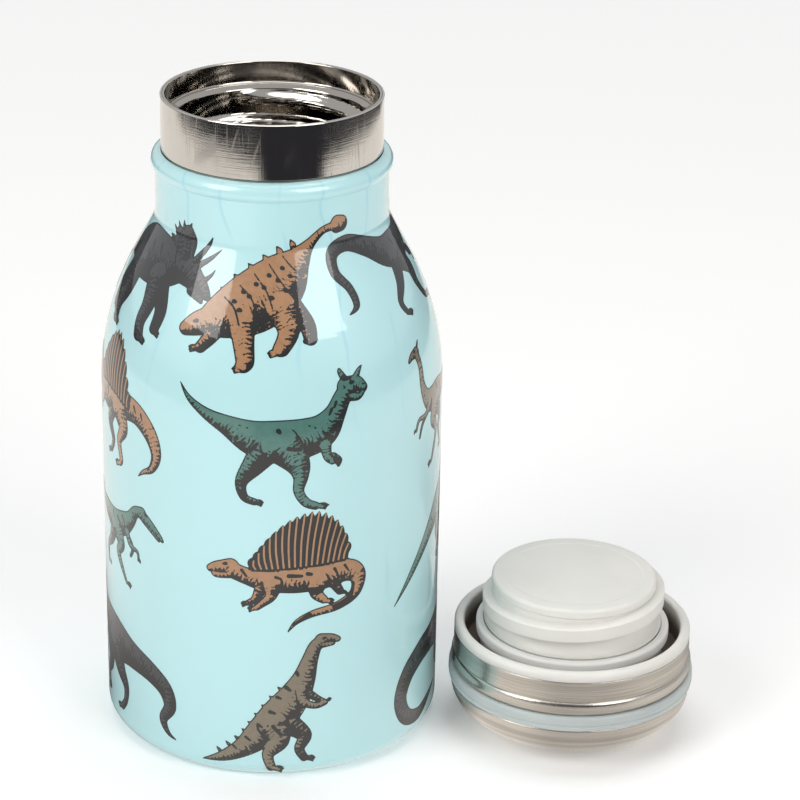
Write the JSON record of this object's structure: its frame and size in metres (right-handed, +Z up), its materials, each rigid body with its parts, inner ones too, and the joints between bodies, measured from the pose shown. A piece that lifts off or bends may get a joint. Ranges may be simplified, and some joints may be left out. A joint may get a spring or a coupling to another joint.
{
  "type": "insulated bottle",
  "caption": "Small double-walled steel bottle with a dinosaur-print painted body, polished neck and a screw stopper cap that swings over, lowers and screws shut.",
  "frame": {"origin": "centre of the bottle's base, on the surface that it stands on", "axes": "+Z up along the bottle's axis; -Y is the front of the print; the cap lies on the +X side"},
  "size_m": [0.1241, 0.07, 0.136],
  "materials": {
    "painted_steel": "glossy pale aqua paint with a printed pattern of dinosaurs",
    "polished_steel": "polished stainless steel",
    "flask_steel": "bright drawn stainless steel",
    "brushed_steel": "satin stainless steel brushed around the axis",
    "clear_silicone": "translucent pale grey-blue silicone",
    "white_plastic": "satin off-white polypropylene",
    "white_silicone": "smooth off-white silicone",
    "white_foam": "expanded foam",
    "copper_foil": "bright copper foil",
    "solder_glass": "fused dark solder glass",
    "getter_metal": "matte sintered alloy"
  },
  "bodies": {
    "bottle": {"outer_shell": "painted_steel", "neck_collar": "polished_steel", "inner_flask": "flask_steel", "inner_flask_base": "flask_steel", "foil_wrap": "copper_foil", "outer_base": "flask_steel", "base_cover": "painted_steel", "vacuum_seal": "solder_glass", "getter": "getter_metal", "getter_clip": "flask_steel"},
    "insulation": {"stopper_foam": "white_foam"},
    "gasket": {"stopper_gasket": "white_silicone"},
    "cap": {"cap_top": "brushed_steel", "cap_skirt": "brushed_steel", "grip_band": "clear_silicone", "cap_liner": "white_plastic", "stopper": "white_plastic", "stopper_end": "white_plastic"}
  },
  "joints": [
    {"name": "cap_carry", "type": "hinge", "parent": "bottle", "child": "insulation", "pos_m": [0.03164, -0.00428, 0.08618], "axis": [-0.134, -0.991, 0], "range_deg": [0, 180]},
    {"name": "cap_advance", "type": "slide", "parent": "insulation", "child": "gasket", "axis": [0, 0, 1], "range_m": [0, 0.0175]},
    {"name": "cap_turn", "type": "hinge", "parent": "gasket", "child": "cap", "pos_m": [0.06327, -0.00856, 0], "axis": [0, 0, 1], "range_deg": [0, 1260]}
  ],
  "couplings": [
    {"joint": "cap_advance", "follows": "cap_turn", "m_per_rad": 0.00079577}
  ]
}
